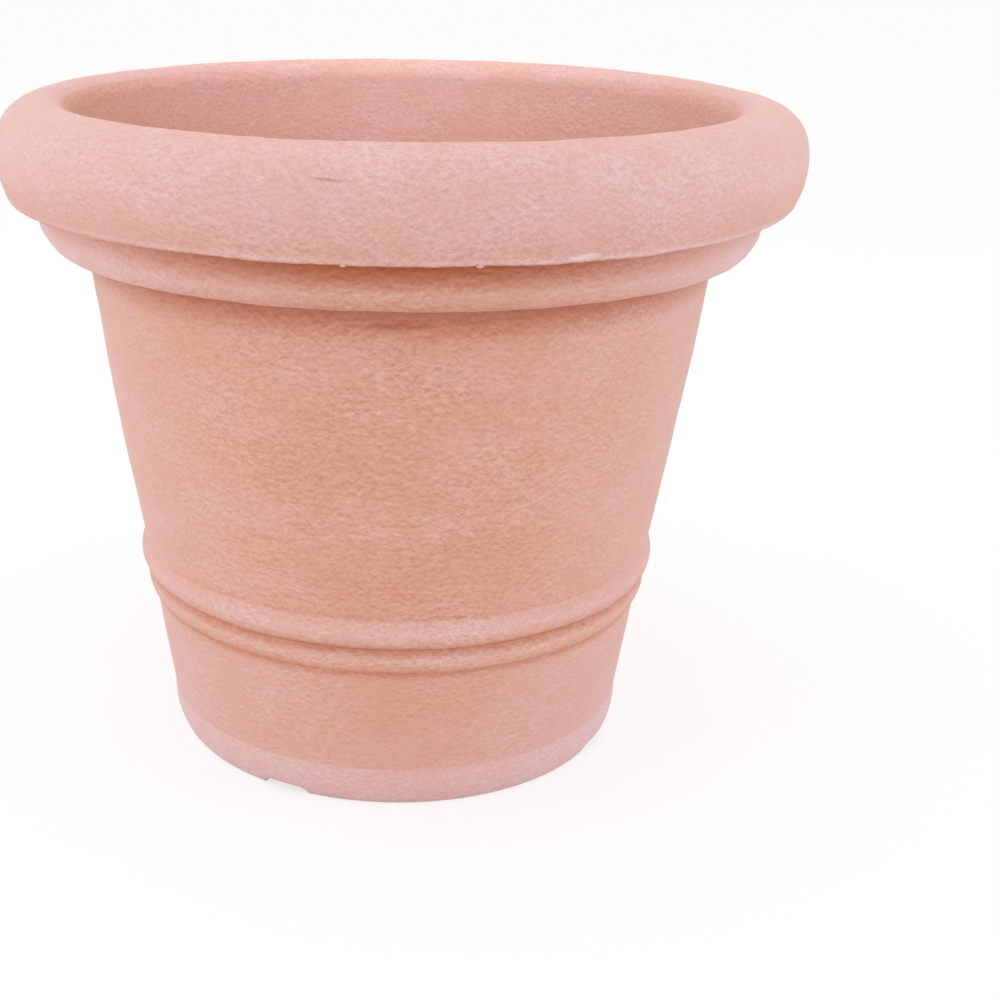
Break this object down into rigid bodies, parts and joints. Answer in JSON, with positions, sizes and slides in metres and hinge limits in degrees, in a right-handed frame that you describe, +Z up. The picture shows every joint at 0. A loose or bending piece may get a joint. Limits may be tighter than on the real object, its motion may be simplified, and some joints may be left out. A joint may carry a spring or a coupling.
{
  "type": "flower pot",
  "caption": "Round tapered floor planter with a thick rolled rim, a collar, twin raised bands, plugged drain holes and a lift-out drainage grid.",
  "frame": {"origin": "on the floor, at the middle of the foot", "axes": "+Z up along the pot's axis, -Y towards the side called front; the foot channels lie on X and Y"},
  "size_m": [0.5959, 0.596, 0.5],
  "materials": {
    "terracotta_finish": "rotationally moulded polyethylene, matt, speckled terracotta with a pale chalky wash",
    "grid_plastic": "moulded recycled polypropylene, matt",
    "pillar_plastic": "extruded polypropylene tube, satin",
    "plug_plastic": "moulded polyethylene, satin",
    "seal_rubber": "moulded black rubber"
  },
  "bodies": {
    "pot": {"pot_shell": "terracotta_finish"},
    "plug_centre": {"drain_plug_centre": "plug_plastic", "plug_seal_centre": "seal_rubber"},
    "plug_front": {"drain_plug_front": "plug_plastic", "plug_seal_front": "seal_rubber"},
    "plug_right": {"drain_plug_right": "plug_plastic", "plug_seal_right": "seal_rubber"},
    "plug_back": {"drain_plug_back": "plug_plastic", "plug_seal_back": "seal_rubber"},
    "plug_left": {"drain_plug_left": "plug_plastic", "plug_seal_left": "seal_rubber"},
    "grid": {"drainage_grid": "grid_plastic", "grid_pillar_1": "pillar_plastic", "grid_pillar_2": "pillar_plastic", "grid_pillar_3": "pillar_plastic", "grid_pillar_4": "pillar_plastic"}
  },
  "joints": [
    {"name": "plug_centre_pull", "type": "slide", "parent": "pot", "child": "plug_centre", "axis": [0, 0, 1], "range_m": [0, 0.036]},
    {"name": "plug_front_pull", "type": "slide", "parent": "pot", "child": "plug_front", "axis": [0, 0, 1], "range_m": [0, 0.036]},
    {"name": "plug_right_pull", "type": "slide", "parent": "pot", "child": "plug_right", "axis": [0, 0, 1], "range_m": [0, 0.036]},
    {"name": "plug_back_pull", "type": "slide", "parent": "pot", "child": "plug_back", "axis": [0, 0, 1], "range_m": [0, 0.036]},
    {"name": "plug_left_pull", "type": "slide", "parent": "pot", "child": "plug_left", "axis": [0, 0, 1], "range_m": [0, 0.036]},
    {"name": "grid_lift", "type": "slide", "parent": "pot", "child": "grid", "axis": [0, 0, 1], "range_m": [0, 0.5]}
  ]
}
